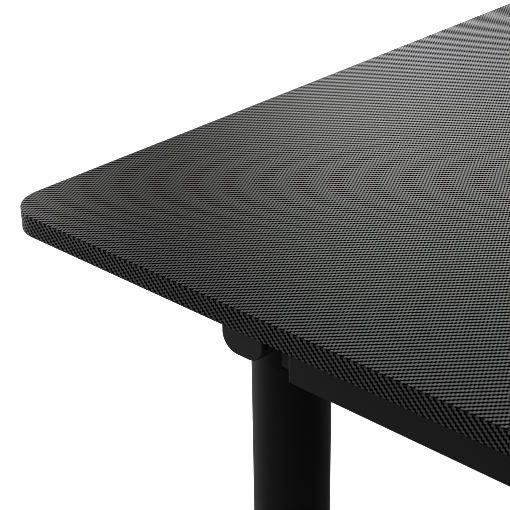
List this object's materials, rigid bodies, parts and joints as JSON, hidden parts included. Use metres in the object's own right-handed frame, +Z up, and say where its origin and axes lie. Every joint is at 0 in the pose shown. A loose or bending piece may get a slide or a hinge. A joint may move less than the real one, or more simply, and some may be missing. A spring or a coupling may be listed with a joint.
{
  "type": "corner desk",
  "caption": "L-shaped corner desk with a rounded black twill-look top, round steel legs, support arms, angle rails and levelling feet.",
  "frame": {"origin": "on the floor, under the middle of the desk's rectangular outline", "axes": "+X along the main board towards the return board, +Y from the sitter to the back edge, +Z up"},
  "size_m": [1.6, 1.4, 0.74],
  "materials": {
    "weave_laminate": "satin twill-weave laminate, black and grey",
    "weave_edging": "satin twill-weave edging, black and grey",
    "board": "particle board with a dark backing",
    "black_steel": "fine matt black powder coat",
    "black_casting": "matt black cast bracket",
    "black_plastic": "matt black moulded plastic",
    "zinc_plate": "zinc-plated sheet"
  },
  "bodies": {
    "frame": {"main_board": "board", "main_laminate": "weave_laminate", "main_edge_band": "weave_edging", "return_board": "board", "return_laminate": "weave_laminate", "return_edge_band": "weave_edging", "joining_plate_1": "zinc_plate", "joining_plate_2": "zinc_plate", "joining_plate_3": "zinc_plate", "left_arm": "black_steel", "left_arm_front_cap": "black_plastic", "left_arm_rear_cap": "black_plastic", "inner_arm": "black_steel", "inner_arm_front_cap": "black_plastic", "inner_arm_rear_cap": "black_plastic", "outer_arm": "black_steel", "outer_arm_front_cap": "black_plastic", "outer_arm_rear_cap": "black_plastic", "left_front_leg": "black_steel", "left_front_saddle": "black_steel", "left_front_insert": "black_plastic", "left_rear_leg": "black_steel", "left_rear_saddle": "black_steel", "left_rear_insert": "black_plastic", "inner_front_leg": "black_steel", "inner_front_saddle": "black_steel", "inner_front_insert": "black_plastic", "inner_rear_leg": "black_steel", "inner_rear_saddle": "black_steel", "inner_rear_insert": "black_plastic", "outer_front_leg": "black_steel", "outer_front_saddle": "black_steel", "outer_front_insert": "black_plastic", "outer_rear_leg": "black_steel", "outer_rear_saddle": "black_steel", "outer_rear_insert": "black_plastic", "front_rail": "black_steel", "front_rail_left_connector": "black_casting", "front_rail_right_connector": "black_casting", "rear_rail": "black_steel", "rear_rail_left_connector": "black_casting", "rear_rail_right_connector": "black_casting", "return_front_rail": "black_steel", "return_front_rail_left_connector": "black_casting", "return_front_rail_right_connector": "black_casting", "return_middle_rail": "black_steel", "return_middle_rail_left_connector": "black_casting", "return_middle_rail_right_connector": "black_casting", "return_rear_rail": "black_steel", "return_rear_rail_left_connector": "black_casting", "return_rear_rail_right_connector": "black_casting"},
    "left_front_foot": {"left_front_foot": "black_plastic"},
    "left_rear_foot": {"left_rear_foot": "black_plastic"},
    "inner_front_foot": {"inner_front_foot": "black_plastic"},
    "inner_rear_foot": {"inner_rear_foot": "black_plastic"},
    "outer_front_foot": {"outer_front_foot": "black_plastic"},
    "outer_rear_foot": {"outer_rear_foot": "black_plastic"}
  },
  "joints": [
    {"name": "left_front_foot_screw", "type": "slide", "parent": "frame", "child": "left_front_foot", "axis": [0, 0, -1], "range_m": [0, 0.01]},
    {"name": "left_rear_foot_screw", "type": "slide", "parent": "frame", "child": "left_rear_foot", "axis": [0, 0, -1], "range_m": [0, 0.01]},
    {"name": "inner_front_foot_screw", "type": "slide", "parent": "frame", "child": "inner_front_foot", "axis": [0, 0, -1], "range_m": [0, 0.01]},
    {"name": "inner_rear_foot_screw", "type": "slide", "parent": "frame", "child": "inner_rear_foot", "axis": [0, 0, -1], "range_m": [0, 0.01]},
    {"name": "outer_front_foot_screw", "type": "slide", "parent": "frame", "child": "outer_front_foot", "axis": [0, 0, -1], "range_m": [0, 0.01]},
    {"name": "outer_rear_foot_screw", "type": "slide", "parent": "frame", "child": "outer_rear_foot", "axis": [0, 0, -1], "range_m": [0, 0.01]}
  ]
}
